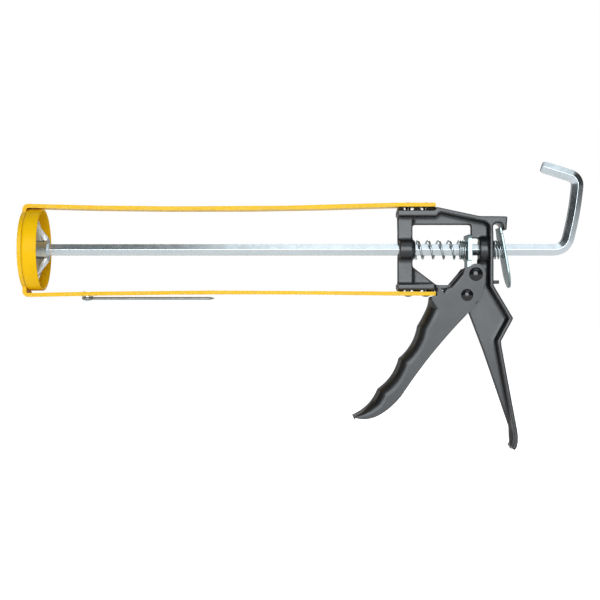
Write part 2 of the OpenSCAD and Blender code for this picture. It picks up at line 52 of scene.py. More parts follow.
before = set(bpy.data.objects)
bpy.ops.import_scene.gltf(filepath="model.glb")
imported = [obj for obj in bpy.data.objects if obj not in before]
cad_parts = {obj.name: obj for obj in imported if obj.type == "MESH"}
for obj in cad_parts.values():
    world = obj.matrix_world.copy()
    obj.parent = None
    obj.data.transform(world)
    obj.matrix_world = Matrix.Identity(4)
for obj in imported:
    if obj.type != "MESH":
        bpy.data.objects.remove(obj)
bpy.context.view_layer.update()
MM = 0.001


def span(node):
    """Lowest and highest corner of a node, in millimetres."""
    low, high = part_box(node)
    return np.array(low) / MM, np.array(high) / MM


# ---- settings ----


def colour(name, description, default):
    return FloatVectorProperty(
        name=name, description=description, default=default, subtype="COLOR", size=3, min=0, max=1
    )


def length(name, description, default, low, high):
    return FloatProperty(
        name=name, description=description, default=default, min=low, max=high, unit="LENGTH"
    )


class GunPaint(PropertyGroup):
    """Colours of the paints and platings."""

    yellow: colour("Cradle paint", "Gloss enamel of the cradle and the cup", (0.88, 0.50, 0.004))
    black: colour("Casting paint", "Stove enamel of the casting", (0.010, 0.0105, 0.012))
    trigger: colour("Trigger paint", "Enamel of the pressed trigger", (0.009, 0.0092, 0.0098))
    rivet: colour("Rivet paint", "Gloss black of the cross rivets", (0.008, 0.008, 0.009))
    zinc: colour("Zinc plate", "Bright plating of the rod and plates", (0.70, 0.765, 0.80))
    blue_zinc: colour("Blue zinc", "Blue passivated plating of the plates", (0.31, 0.39, 0.395))
    spring: colour("Spring wire", "Plated spring wire", (0.50, 0.55, 0.56))


class GunSizes(PropertyGroup):
    """Sizes that only the finish has: edge roundings and mesh fineness."""

    strap_edge: length("Strap edge", "Rounding of the strap's rolled edges", 0.0005, 0.0001, 0.0008)
    sheet_edge: length("Sheet edge", "Rounding of the small pressed parts", 0.00025, 0.0001, 0.0005)
    rod_edge: length("Rod edge", "Rounding of the rod's six corners", 0.0003, 0.0002, 0.001)
    trigger_bend: length(
        "Trigger bend", "Outer radius of the trigger's pressed bends", 0.0068, 0.002, 0.0094
    )
    lip_bend: length(
        "Lip bend", "Outer radius of the lips beside the trigger's head", 0.0026, 0.001, 0.004
    )
    cast_grain: length("Casting fineness", "Cell of the casting's skin", 0.0005, 0.0004, 0.001)
    fillet_passes: IntProperty(
        name="Fillet passes",
        description="How far the casting's inner corners fill",
        default=7,
        min=0,
        max=200,
    )


# ---- shader maths ----


class Socket:
    """A shader value that Python arithmetic works on: an expression adds its Math nodes."""

    def __init__(self, shader, link):
        self.shader, self.link = shader, link

    def _math(self, operation, *values):
        return self.shader.node("ShaderNodeMath", {"operation": operation}, dict(enumerate(values)))[0]

    def __add__(self, other):
        return self._math("ADD", self, other)

    def __sub__(self, other):
        return self._math("SUBTRACT", self, other)

    def __rsub__(self, other):
        return self._math("SUBTRACT", other, self)

    def __mul__(self, other):
        return self._math("MULTIPLY", self, other)

    __radd__, __rmul__ = __add__, __mul__


class Outputs:
    """The outputs of a node, by number or by name."""

    def __init__(self, shader, node):
        self.shader, self.node = shader, node

    def __getitem__(self, key):
        return Socket(self.shader, self.node.outputs[key])


class Finish:
    """One procedural material with its nodes."""

    def __init__(self, name):
        self.material = bpy.data.materials.new(name)
        self.material.use_nodes = True
        self.tree = self.material.node_tree
        self.tree.nodes.clear()
        self.place = self.node("ShaderNodeTexCoord")["Object"]

    def node(self, kind, settings=None, inputs=None):
        """Adds a node: its settings first, then the values or links of its sockets."""
        made = self.tree.nodes.new(kind)
        for key, value in (settings or {}).items():
            setattr(made, key, value)
        for key, value in (inputs or {}).items():
            if isinstance(value, Socket):
                self.tree.links.new(value.link, made.inputs[key])
            else:
                made.inputs[key].default_value = value
        return Outputs(self, made)

    def stretched(self, scale):
        """Object coordinates, scaled per axis: a large number makes a fine pattern."""
        inputs = {0: self.place, 1: scale}
        return self.node("ShaderNodeVectorMath", {"operation": "MULTIPLY"}, inputs)[0]

    def noise(self, scale, detail=3.0, rough=0.55, at=None):
        return self.node(
            "ShaderNodeTexNoise",
            {},
            {"Vector": at or self.place, "Scale": scale, "Detail": detail, "Roughness": rough},
        )[0]

    def ramp(self, value, low, high):
        """0 below low, 1 above high, and a smooth step between."""
        return self.node(
            "ShaderNodeMapRange",
            {"interpolation_type": "SMOOTHSTEP"},
            {"Value": value, "From Min": low, "From Max": high},
        )[0]

    def mixed(self, factor, first, second):
        """Two colours, mixed by a factor."""
        return self.node(
            "ShaderNodeMix",
            {"data_type": "RGBA"},
            {0: factor, 6: as_rgba(first), 7: as_rgba(second)},
        )[2]

    def bump(self, height, strength, distance, onto=None):
        inputs = {"Height": height, "Strength": strength, "Distance": distance}
        if onto:
            inputs["Normal"] = onto
        return self.node("ShaderNodeBump", {}, inputs)[0]

    def surface(self, **sockets):
        """Ends the material in a Principled surface. Words are joined with _ for spaces."""
        inputs = {key.replace("_", " "): value for key, value in sockets.items()}
        shader = self.node("ShaderNodeBsdfPrincipled", {}, inputs)["BSDF"]
        self.node("ShaderNodeOutputMaterial", {}, {"Surface": shader})
        return self.material


def as_rgba(value):
    return value if isinstance(value, Socket) else (*value[:3], 1.0)


def shade(rgb, factor):
    return tuple(min(1.0, c * factor) for c in rgb)


# ---- finishes ----


def edge_wear(finish, low=0.53, high=0.62):
    """1 on sharp outer edges, broken up by a grain, and 0 elsewhere."""
    sharp = finish.ramp(finish.node("ShaderNodeNewGeometry")["Pointiness"], low, high)
    return sharp * finish.ramp(finish.noise(900.0, 4.0), 0.42, 0.6)


def yellow_enamel(rgb):
    """Gloss enamel: slow drifts of shade, orange peel, dust specks and thin paint on the edges."""
    finish = Finish("yellow_enamel")
    drift = finish.ramp(finish.noise(35.0, 2.0), 0.3, 0.7)
    tone = finish.mixed(drift, shade(rgb, 0.95), shade(rgb, 1.04))
    tone = finish.mixed(edge_wear(finish, 0.54, 0.66) * 0.35, tone, (0.80, 0.62, 0.16))
    lengthwise = finish.stretched((60.0, 420.0, 420.0))
    scuffs = finish.ramp(finish.noise(1.0, 5.0, 0.65, lengthwise), 0.62, 0.75)
    peel = finish.bump(finish.noise(620.0, 2.0), 0.10, 0.0002)
    specks = finish.bump(finish.ramp(finish.noise(2600.0, 1.0), 0.70, 0.80), 0.12, 0.0001, peel)
    return finish.surface(
        Base_Color=tone,
        Roughness=0.30 + scuffs * 0.18 + drift * 0.05,
        Specular_IOR_Level=0.08,
        Coat_Weight=0.03,
        Coat_Roughness=0.12,
        Normal=specks,
    )


def black_enamel(name, rgb, grain, roughness, peel, coat=0.25):
    """Stove enamel over metal: fine grain, faint rub marks and bared metal specks on the edges."""
    finish = Finish(name)
    cloud = finish.ramp(finish.noise(60.0, 4.0, 0.6), 0.3, 0.72)
    rubs = finish.ramp(finish.noise(1.0, 6.0, 0.7, finish.stretched((130.0, 260.0, 46.0))), 0.56, 0.74)
    worn = edge_wear(finish, 0.56, 0.68)
    tone = finish.mixed(cloud, shade(rgb, 0.85), shade(rgb, 1.2))
    tone = finish.mixed(worn * 0.35, tone, (0.20, 0.205, 0.21))
    skin = finish.bump(finish.noise(grain, 3.0, 0.6), peel, 0.00025)
    return finish.surface(
        Base_Color=tone,
        Roughness=roughness + cloud * 0.06 + rubs * 0.07,
        IOR=1.55,
        Coat_Weight=coat,
        Coat_Roughness=0.2,
        Normal=skin,
    )


def plated_steel(name, rgb, along, roughness, spangle=0.5, streak=0.25, relief=0.08):
    """Zinc plate over drawn or pressed steel: fine lines along the draw, spangle and dull clouds."""
    finish = Finish(name)
    lines = finish.noise(1.0, 5.0, 0.7, finish.stretched(along))
    cloud = finish.ramp(finish.noise(150.0, 4.0, 0.65), 0.35, 0.68)
    blotch = finish.ramp(finish.noise(420.0, 3.0, 0.6), 0.5, 0.72)
    pits = finish.ramp(finish.noise(1100.0, 2.0), 0.70, 0.78)
    tone = finish.mixed(cloud * spangle, rgb, shade(rgb, 0.80))
    tone = finish.mixed(finish.ramp(lines, 0.35, 0.75) * streak, tone, shade(rgb, 1.14))
    tone = finish.mixed(pits * 0.3, tone, shade(rgb, 0.5))
    drawn = finish.bump(lines, relief, 0.0002)
    dimpled = finish.bump(blotch - pits * 0.8, relief * 0.6, 0.00025, drawn)
    return finish.surface(
        Base_Color=tone,
        Metallic=1.0,
        Roughness=roughness + cloud * 0.08 + blotch * 0.05,
        Normal=dimpled,
    )


def paint_all(settings):
    """Every finish of the gun, by name."""
    return {
        "yellow": yellow_enamel(settings.yellow),
        "casting": black_enamel("casting_enamel", settings.black, 1500.0, 0.34, 0.22),
        "trigger": black_enamel("trigger_enamel", settings.trigger, 2400.0, 0.33, 0.10, 0.1),
        "rivet": black_enamel("rivet_enamel", settings.rivet, 2600.0, 0.12, 0.03, 0.0),
        "rod": plated_steel(
            "drawn_zinc", settings.zinc, (14.0, 500.0, 500.0), 0.17, 0.12, 0.6, 0.004
        ),
        "plate": plated_steel("pressed_zinc", settings.zinc, (300.0, 900.0, 900.0), 0.30),
        "blue_plate": plated_steel("blue_zinc", settings.blue_zinc, (900.0, 1200.0, 90.0), 0.24),
        # the piercing wire's zinc is drawn at 0.36 of its brightness: painted shade from the strap
        # above it, not a darker plating
        "wire": plated_steel("wire_zinc_painted_shade", shade(settings.zinc, 0.36), (40.0, 900.0, 900.0), 0.34),
        "spring": plated_steel(
            "spring_zinc", settings.spring, (1800.0, 1800.0, 1800.0), 0.24, 0.3, 0.15
        ),
    }


FINISHES = {}


def dressed(name, finish, material_slot, body, *nodes):
    """Gives a finished piece its material and its body, and hides the nodes that it stands for."""
    piece = bpy.data.objects[name]
    piece.data.materials.clear()
    piece.data.materials.append(FINISHES[finish])
    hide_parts(*nodes)
    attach(piece, body)
    return piece


# ---- surfaces ----


def grid_faces(rows, columns, loop_rows=False, loop_columns=False):
    """Quads of a grid of points, numbered row by row, closed round where asked."""
    r = np.arange(rows if loop_rows else rows - 1)[:, None]
    c = np.arange(columns if loop_columns else columns - 1)[None, :]
    r1, c1 = (r + 1) % rows, (c + 1) % columns
    corners = [r * columns + c, r1 * columns + c, r1 * columns + c1, r * columns + c1]
    return np.stack(corners, -1).reshape(-1, 4)


def add_mesh(name, parts, turn_out=True):
    """One object from parts, each (points in millimetres, faces). Doubles are merged."""
    points, faces, start = [], [], 0
    for p, f in parts:
        points.append(np.asarray(p, float).reshape(-1, 3))
        faces += [list(dict.fromkeys(face)) for face in (np.asarray(f) + start).tolist()]
        start += len(points[-1])
    mesh = bpy.data.meshes.new(name)
    mesh.from_pydata((np.concatenate(points) * MM).tolist(), [], faces)
    piece = bpy.data.objects.new(name, mesh)
    bpy.context.collection.objects.link(piece)
    work = bmesh.new()
    work.from_mesh(mesh)
    bmesh.ops.remove_doubles(work, verts=work.verts, dist=1e-7)
    bmesh.ops.dissolve_degenerate(work, edges=work.edges, dist=1e-7)
    if turn_out:
        bmesh.ops.recalc_face_normals(work, faces=work.faces)
    work.to_mesh(mesh)
    work.free()
    mesh.shade_smooth()
    return piece


def flat_stays_flat(piece, angle=40.0):
    """Wide faces keep their own direction beside rounded edges, and true corners stay crisp."""
    piece.data.shade_smooth()
    piece.data.set_sharp_from_angle(angle=math.radians(angle))
    weighted = piece.modifiers.new("flats", "WEIGHTED_NORMAL")
    weighted.keep_sharp = True
    return piece


def rounded_copy(name, node, edge, steps=3, angle=30.0):
    """A node's own shape with its loose triangles merged, its flats joined and its edges rounded."""
    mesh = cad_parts[node].data.copy()
    mesh.name = name
    piece = bpy.data.objects.new(name, mesh)
    bpy.context.collection.objects.link(piece)
    work = bmesh.new()
    work.from_mesh(mesh)
    bmesh.ops.remove_doubles(work, verts=work.verts, dist=1e-6)
    bmesh.ops.dissolve_limit(work, angle_limit=math.radians(0.6), verts=work.verts, edges=work.edges)
    work.to_mesh(mesh)
    work.free()
    bevel = piece.modifiers.new("edges", "BEVEL")
    bevel.width, bevel.segments = edge, steps
    bevel.limit_method, bevel.angle_limit = "ANGLE", math.radians(angle)
    bevel.miter_outer = "MITER_ARC"
    return flat_stays_flat(piece, 60.0)


def round_profile(corners, radius, steps=5):
    """A closed outline with each corner rounded by an arc of the given radius, in a plane."""
    corners = np.asarray(corners, float)
    before, after = np.roll(corners, 1, 0) - corners, np.roll(corners, -1, 0) - corners
    before /= np.linalg.norm(before, axis=1)[:, None]
    after /= np.linalg.norm(after, axis=1)[:, None]
    half = np.arccos(np.clip((before * after).sum(1), -1, 1)) / 2
    middle = before + after
    middle /= np.linalg.norm(middle, axis=1)[:, None]
    centre = corners + middle * (radius / np.sin(half))[:, None]
    start = corners + before * (radius / np.tan(half))[:, None] - centre
    end = corners + after * (radius / np.tan(half))[:, None] - centre
    t = np.linspace(0, 1, steps)[None, :, None]
    swing = np.pi - 2 * half
    weight_a = np.sin((1 - t) * swing[:, None, None]) / np.sin(swing)[:, None, None]
    weight_b = np.sin(t * swing[:, None, None]) / np.sin(swing)[:, None, None]
    arcs = centre[:, None] + weight_a * start[:, None] + weight_b * end[:, None]
    return arcs.reshape(-1, 2)


def turned(profile, centre=(0.0, 0.0, 0.0), axis=0, around=96):
    """A closed profile (along, radius) turned about an axis through a centre: the radius times the
    sine and cosine of the turn in the two other directions."""
    profile = np.asarray(profile, float)
    a = np.linspace(0, 2 * np.pi, around, endpoint=False)[:, None]
    along, r = profile[None, :, 0] + 0 * a, profile[None, :, 1]
    points = np.stack([along, r * np.sin(a), r * np.cos(a)], -1)
    points = np.roll(points, axis, -1) + np.asarray(centre, float)
    return points, grid_faces(around, len(profile), loop_rows=True, loop_columns=True)


def swept(rings):
    """A closed tube through rings of points. Each end is capped by triangles, written as quads that
    name their last point twice."""
    n, m = rings.shape[:2]
    tube = grid_faces(n, m, loop_columns=True)
    points = np.concatenate([rings.reshape(-1, 3), rings[[0, -1]].mean(1)])
    j = np.arange(m)
    k = (j + 1) % m
    first = np.stack([np.full(m, n * m), j, k, k], -1)
    last = (n - 1) * m + j
    final = np.stack([np.full(m, n * m + 1), (n - 1) * m + k, last, last], -1)
    return points, np.concatenate([tube, first, final])


def smoothed(values, passes):
    """A run of rows smoothed by a three-point average, its two ends kept."""
    for _ in range(passes):
        values = values.copy()
        values[1:-1] = (values[:-2] + 2 * values[1:-1] + values[2:]) / 4
    return values


def resampled(points, share):
    """Points at the given shares of a path's length."""
    points = np.asarray(points, float)
    run = np.concatenate([[0], np.cumsum(np.linalg.norm(np.diff(points, axis=0), axis=1))])
    return np.stack([np.interp(share * run[-1], run, points[:, k]) for k in range(2)], -1)


def share_at(points, index):
    """The share of a path's length at one of its points."""
    steps = np.linalg.norm(np.diff(np.asarray(points, float), axis=0), axis=1)
    return steps[:index].sum() / steps.sum()


def curve(a, control, b, steps=10):
    """A parabola from a to b that leans towards its control point."""
    t = np.linspace(0, 1, steps)[:, None]
    a, control, b = (np.asarray(v, float) for v in (a, control, b))
    return (1 - t) ** 2 * a + 2 * t * (1 - t) * control + t**2 * b


def heading(degrees):
    return np.array([math.cos(math.radians(degrees)), math.sin(math.radians(degrees))])


# ---- sizes read from the frame, in millimetres ----


def middle_of(node):
    low, high = span(node)
    return (low + high) / 2


PIVOT = middle_of("trigger_pivot_rivet")[[0, 2]]
DRIVE_PIN = middle_of("drive_pin_rivet")[[0, 2]]
HALF_WIDTH = span("trigger")[1][1]
SHEET = 1.4


class GunOperator:
    """What every step shares."""

    bl_options = {"REGISTER", "UNDO"}

    def sizes(self, context):
        return context.scene.caulking_gun_sizes


# ---- rod ----

# from the rod's middle to a corner of its hexagon
ROD_CORNER = 4.0415
# from the release plate's front to the start of the hook
HOOK_OFFSET = 35.0
# each bend of the hook: how far it turns, in degrees, and its radius
HOOK_STRETCHES = ((75.0, 9.0), (10.0, 192.0), (77.3, 6.0))
HOOK_ARM = 18.7
# how small the hook's very end is drawn in, as a chamfer
END_SHRINK = 0.84
# the stud that holds the disc: its radius, its head's radius and how far the head is domed
STUD_R, STUD_HEAD_R, STUD_DOME = 3.0, 4.4, 1.1


def rod_path(start, hook_start):
    """Stations of the rod's centreline: place in the middle plane and heading in degrees. The rod is
    straight, then follows one arc after another, and ends in a straight arm."""
    places = [np.stack([np.linspace(start, hook_start, 60), np.zeros(60)], -1)]
    turns = [np.zeros(60)]
    for turn, radius in HOOK_STRETCHES:
        at, now = places[-1][-1], turns[-1][-1]
        centre = at + radius * heading(now + 90)
        a = np.linspace(0, turn, 26)[1:] + now
        places.append(centre + radius * np.stack([np.sin(np.radians(a)), -np.cos(np.radians(a))], -1))
        turns.append(a)
    at, now = places[-1][-1], turns[-1][-1]
    reach = np.linspace(0, HOOK_ARM, 12)[1:, None]
    places.append(at + reach * heading(now))
    turns.append(np.full(11, now))
    return np.concatenate(places), np.concatenate(turns)


def hexagon_ring(edge):
    """The rod's section: a hexagon with two corners across the gun and its corners rounded."""
    a = np.radians(np.arange(6) * 60.0)
    return round_profile(np.stack([np.cos(a), np.sin(a)], -1) * ROD_CORNER, edge, 5)


class BuildRod(GunOperator, Operator):
    """Carries the rounded hexagon along the rod's path, with a chamfer at the hook's end"""

    bl_idname = "caulking_gun.rod"
    bl_label = "Push rod"

    def execute(self, context):
        ring = hexagon_ring(self.sizes(context).rod_edge / MM)
        hook_start = span("release_plate")[0][0] + HOOK_OFFSET
        places, turns = rod_path(span("piston_spider")[1][0], hook_start)
        a = np.radians(turns)[:, None]
        n = np.arange(len(turns))
        scale = np.where(n == len(n) - 1, END_SHRINK, 1.0)[:, None]
        y, z = ring[None, :, 0] * scale, ring[None, :, 1] * scale
        rings = np.stack([places[:, :1] - z * np.sin(a), y + 0 * a, places[:, 1:] + z * np.cos(a)], -1)
        front = span("push_rod")[0][0]
        disc = span("piston_disc")[0][0]
        dome = [(front + STUD_DOME * t**2, STUD_HEAD_R * t) for t in np.linspace(0, 1, 9)]
        inside = rings[0, 0, 0] + 0.2
        stud = turned([*dome, (disc, STUD_R), (inside, STUD_R), (inside, 0.0)], around=48)
        piece = add_mesh("push_rod_bar", [swept(rings), stud])
        flat_stays_flat(piece, 50.0)
        dressed(piece.name, "rod", "zinc_rod", "push_rod", "push_rod")
        return {"FINISHED"}


# ---- springs ----


def coil(x, turns, radius, wire, sides=16):
    """A round wire along a helix: at each turn count the wire's ring lies square to its run."""
    a = 2 * np.pi * turns
    out = np.stack([0 * a, -np.sin(a), np.cos(a)], -1)
    pace = 2 * np.pi * radius
    run = np.stack([np.gradient(x, turns), -pace * np.cos(a), -pace * np.sin(a)], -1)
    run /= np.linalg.norm(run, axis=1)[:, None]
    side = np.cross(out, run)
    b = np.linspace(0, 2 * np.pi, sides, endpoint=False)
    centre = np.stack([x, 0 * a, 0 * a], -1) + radius * out
    ring = np.cos(b)[None, :, None] * out[:, None] + np.sin(b)[None, :, None] * side[:, None]
    return swept(centre[:, None] + wire / 2 * ring)


# the release plate's face: the height where it lies furthest forward, and its lean in degrees
PLATE_TOP, PLATE_LEAN = 13.4, 10
# what is left between the small spring's wire and that face
SPRING_GAP = 0.2


class BuildSprings(GunOperator, Operator):
    """Winds the drive spring, with its closed turns by the plate, and the small release spring"""

    bl_idname = "caulking_gun.springs"
    bl_label = "Springs"

    def execute(self, context):
        low, high = span("drive_spring")
        wire, open_turns, closed_turns = 1.2, 4.0, 3.0
        closed_pitch = wire + 0.15
        first, final = low[0] + wire / 2, high[0] - wire / 2
        open_pitch = (final - first - closed_turns * closed_pitch) / open_turns
        t = np.linspace(0, open_turns + closed_turns, 420)
        opened = np.clip(t - 0.5, 0, open_turns)
        x = first + closed_pitch * (t - opened) + open_pitch * opened
        parts = [coil(smoothed(x[:, None], 14)[:, 0], t + 0.5, high[2] - wire / 2, wire)]
        piece = add_mesh("drive_spring_coil", parts)
        dressed(piece.name, "spring", "spring_steel", "frame", "drive_spring")
        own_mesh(piece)
        low, high = span("release_spring")
        wire, turns, radius = 0.8, 2.5, high[2] - 0.4
        t = np.linspace(0, turns, 170)
        z = radius * np.cos(2 * np.pi * t)
        plate_low = span("release_plate")[0][0]
        lean = math.tan(math.radians(PLATE_LEAN))
        face = plate_low + (PLATE_TOP - z) * lean - wire / 2 - SPRING_GAP
        x0 = low[0] + wire / 2
        piece = add_mesh("release_spring_coil", [coil(x0 + t / turns * (face - x0), t, radius, wire)])
        dressed(piece.name, "spring", "spring_steel", "frame", "release_spring")
        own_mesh(piece)
        return {"FINISHED"}


# ---- cradle ----


class BuildCradle(GunOperator, Operator):
    """Rounds the strap's edges and turns the front cup from a thin pressed outline"""

    bl_idname = "caulking_gun.cradle"
    bl_label = "Cradle and cup"

    def execute(self, context):
        piece = rounded_copy("strap_cradle", "cradle_strap", self.sizes(context).strap_edge, 4, 50.0)
        dressed(piece.name, "yellow", "yellow_paint", "frame", "cradle_strap")
        low, high = span("front_cup")
        wall, eye = 1.2, 16.0
        front, back, rim = low[0], high[0], high[1]
        corners = [(front, eye), (front, rim), (back, rim), (back, rim - wall)]
        corners += [(front + wall, rim - wall), (front + wall, eye)]
        profile = round_profile(corners, np.array([0.35, 1.8, 0.45, 0.45, 0.7, 0.35]), 7)
        piece = add_mesh("cup_ring", [turned(profile, around=160)])
        flat_stays_flat(piece, 60.0)
        dressed(piece.name, "yellow", "yellow_paint", "frame", "front_cup")
        return {"FINISHED"}


# ---- piston ----


class BuildPiston(GunOperator, Operator):
    """Turns the pusher disc with its rolled rim, and rounds the spider, the washer and the nut"""

    bl_idname = "caulking_gun.piston"
    bl_label = "Piston"

    def execute(self, context):
        low, high = span("piston_disc")
        thick, rim, hole = 1.5, high[1], 3.0
        corners = [(low[0], hole), (low[0], rim), (high[0], rim), (high[0], rim - thick)]
        corners += [(low[0] + thick, rim - thick), (low[0] + thick, hole)]
        profile = round_profile(corners, np.array([0.1, 1.3, 0.6, 0.5, 0.9, 0.1]), 6)
        piece = add_mesh("pusher_disc", [turned(profile, around=128)])
        flat_stays_flat(piece, 60.0)
        dressed(piece.name, "plate", "zinc_plate", "push_rod", "piston_disc")
        edge = self.sizes(context).sheet_edge
        for node, name in (
            ("piston_spider", "pusher_spider"),
            ("piston_nut", "pusher_nut"),
            ("piston_washer", "pusher_washer"),
        ):
            rounded_copy(name, node, edge)
            dressed(name, "plate", "zinc_plate", "push_rod", node)
        return {"FINISHED"}


# ---- rivets and pins ----


def domed_rivet(head_start, head_r, head_h, shank_r, centre, axis):
    """A rivet with two low domes, turned about its own axis: each dome's height falls with the
    distance from its middle to the power 2.4, over a thin straight rim."""
    t = np.linspace(0, 1, 12)
    dome = head_start + 0.25 + (head_h - 0.25) * (1 - t**2.4)
    outer = np.stack([dome, head_r * (0.001 + 0.999 * t)], -1)
    half = np.concatenate([outer, [[head_start, head_r], [head_start, shank_r]]])
    other = half[::-1] * (-1, 1)
    top = np.array([[head_start + head_h, 0.0]])
    return turned(np.concatenate([top, half, other, top * (-1, 1)]), centre, axis, 64)


class BuildRivets(GunOperator, Operator):
    """Turns the two cross rivets of the trigger with their high domed heads"""

    bl_idname = "caulking_gun.rivets"
    bl_label = "Rivets"

    def execute(self, context):
        for node, name, body, place in (
            ("trigger_pivot_rivet", "pivot_rivet", "frame", PIVOT),
            ("drive_pin_rivet", "drive_rivet", "trigger", DRIVE_PIN),
        ):
            low, high = span(node)
            head_r, head_start = (high[0] - low[0]) / 2, HALF_WIDTH + 0.05
            head_h = high[1] - head_start
            shank = 1.6 if node == "drive_pin_rivet" else 2.2
            centre = (place[0], 0, place[1])
            rivet = domed_rivet(head_start, head_r, head_h, shank, centre, 1)
            piece = add_mesh(name, [rivet])
            flat_stays_flat(piece, 50.0)
            dressed(name, "rivet", "black_rivet_gloss", body, node)
        for run in ("upper", "lower"):
            node, name = f"strap_rivets_{run}", f"strap_studs_{run}"
            rounded_copy(name, node, 0.00012)
            dressed(name, "rivet", "black_paint_rivets", "frame", node)
        return {"FINISHED"}


# ---- plates ----


class BuildPlates(GunOperator, Operator):
    """Rounds the edges of the drive plate and the release plate"""

    bl_idname = "caulking_gun.plates"
    bl_label = "Plates"

    def execute(self, context):
        edge = self.sizes(context).sheet_edge
        for node in ("drive_plate", "release_plate"):
            name = f"{node}_blank"
            rounded_copy(name, node, edge * 1.6, 4)
            dressed(name, "blue_plate", "zinc_plate", node, node)
        return {"FINISHED"}


# ---- casting ----


def edge_table(mesh):
    """Both ends of every edge, and how many edges meet at each vertex."""
    ends = np.empty(len(mesh.edges) * 2, np.int64)
    mesh.edges.foreach_get("vertices", ends)
    ends = ends.reshape(-1, 2)
    return ends, np.bincount(ends.ravel(), minlength=len(mesh.vertices))[:, None]


def relaxed(points, ends, meets, share):
    """The step of each vertex towards the mean of its neighbours."""
    total = np.stack(
        [
            np.bincount(ends[:, 0], points[ends[:, 1], k], len(points))
            + np.bincount(ends[:, 1], points[ends[:, 0], k], len(points))
            for k in range(3)
        ],
        -1,
    )
    return (total / meets - points) * share


def outward(points, quads):
    """Unit normals at the vertices, from the crossed diagonals of the faces round each."""
    a, b, c, d = (points[quads[:, j]] for j in range(4))
    across = np.cross(c - a, d - b)
    sums = [
        sum(np.bincount(quads[:, j], across[:, k], len(points)) for j in range(4)) for k in range(3)
    ]
    total = np.stack(sums, -1)
    return total / np.maximum(np.linalg.norm(total, axis=1), 1e-12)[:, None]


def cast_skin(name, node, cell, fillet_passes, round_passes=3):
    """A casting's skin. The node's shape is cut into even cells. Inner corners then fill, because a
    vertex moves to its neighbours' mean only where that lies outside the skin. A few plain passes
    round what is left."""
    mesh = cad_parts[node].data.copy()
    work = bmesh.new()
    work.from_mesh(mesh)
    bmesh.ops.remove_doubles(work, verts=work.verts, dist=1e-6)
    work.to_mesh(mesh)
    work.free()
    raw = bpy.data.objects.new(name + "_raw", mesh)
    bpy.context.collection.objects.link(raw)
    remesh = raw.modifiers.new("cells", "REMESH")
    remesh.mode, remesh.voxel_size = "VOXEL", cell
    depsgraph = bpy.context.evaluated_depsgraph_get()
    mesh = bpy.data.meshes.new_from_object(raw.evaluated_get(depsgraph))
    bpy.data.objects.remove(raw)
    mesh.name = name
    points = np.empty(len(mesh.vertices) * 3)
    mesh.vertices.foreach_get("co", points)
    points = points.reshape(-1, 3)
    quads = np.empty(len(mesh.polygons) * 4, np.int64)
    mesh.polygons.foreach_get("vertices", quads)
    quads = quads.reshape(-1, 4)
    ends, meets = edge_table(mesh)
    for _ in range(round_passes):
        points = points + relaxed(points, ends, meets, 0.6)
    for _ in range(fillet_passes):
        step = relaxed(points, ends, meets, 0.9)
        normal = outward(points, quads)
        rise = (step * normal).sum(1)[:, None]
        points = points + np.maximum(rise, 0) * normal
    for _ in range(round_passes):
        points = points + relaxed(points, ends, meets, 0.5)
    mesh.vertices.foreach_set("co", points.ravel())
    mesh.update()
    mesh.shade_smooth()
    piece = bpy.data.objects.new(name, mesh)
    bpy.context.collection.objects.link(piece)
    return piece


class BuildCasting(GunOperator, Operator):
    """Grows the casting's skin, with filled inner corners and soft outer edges"""

    bl_idname = "caulking_gun.casting"
    bl_label = "Handle casting"

    def execute(self, context):
        sizes = self.sizes(context)
        piece = cast_skin("handle_body", "handle_casting", sizes.cast_grain, sizes.fillet_passes)
        dressed(piece.name, "casting", "black_cast_paint", "frame", "handle_casting")
        return {"FINISHED"}


# ---- trigger ----

# from the pivot to the tip
TRIGGER_LENGTH = 102.4
# each crest between the finger grooves: how far down the trigger, and how far towards the fingers
CRESTS = ((34.4, 8.5), (56.9, 3.4), (79.4, 0.1), (TRIGGER_LENGTH, 0.0))
GROOVE = 2.2
# the way the trigger points below its pivot at rest, in degrees
TRIGGER_HEADING = -133
# the round top of the side, about the drive pin
CROWN_R = 6.4
# half the opening between the head's lips
LIP_OPENING = 4.8
# the ear's point, from the pivot
EAR_TIP = (-17.6, 6.1)


def lever(s, d):
    """A point below the trigger's pivot: s down its length, d towards the fingers."""
    down = heading(TRIGGER_HEADING)
    return PIVOT + s * down + d * np.array([down[1], -down[0]])


def groove(i):
    """A finger groove: a parabola between two crests that dips towards the palm."""
    a, b = lever(*CRESTS[i]), lever(*CRESTS[i + 1])
    along = (b - a) / np.linalg.norm(b - a)
    return curve(a, (a + b) / 2 + 2 * GROOVE * np.array([-along[1], along[0]]), b, 24)


def trigger_curves():
    """The front edge and the back edge of the trigger's side, both from its head to its tip."""
    shoulder = PIVOT + (-21.6, -1.2)
    head = PIVOT + np.array([(-1.4, 16.4), (-13.2, 2.4), (-13.7, 0.6), (-18.4, -0.6), (-21.6, -1.2)])
    front = [head, curve(shoulder, lever(22, 11), lever(*CRESTS[0]), 16)[1:]]
    front += [groove(i)[1:] for i in range(3)]
    turn = np.linspace(100, -10, 24)
    crown = DRIVE_PIN + CROWN_R * np.stack([np.cos(np.radians(turn)), np.sin(np.radians(turn))], -1)
    cheek = PIVOT + np.array([(11.5, 7.2), (10.1, 2.0), (7.2, -3.6)])
    waist, tip = lever(TRIGGER_LENGTH - 29.5, -12.8), lever(TRIGGER_LENGTH, 0)
    back = [crown, cheek, curve(lever(7.3, -8), lever(40, -7.2), waist, 24)]
    back += [curve(waist, lever(TRIGGER_LENGTH - 5.4, -14), tip, 24)[1:]]
    return np.concatenate(front), np.concatenate(back), len(crown) + len(cheek)


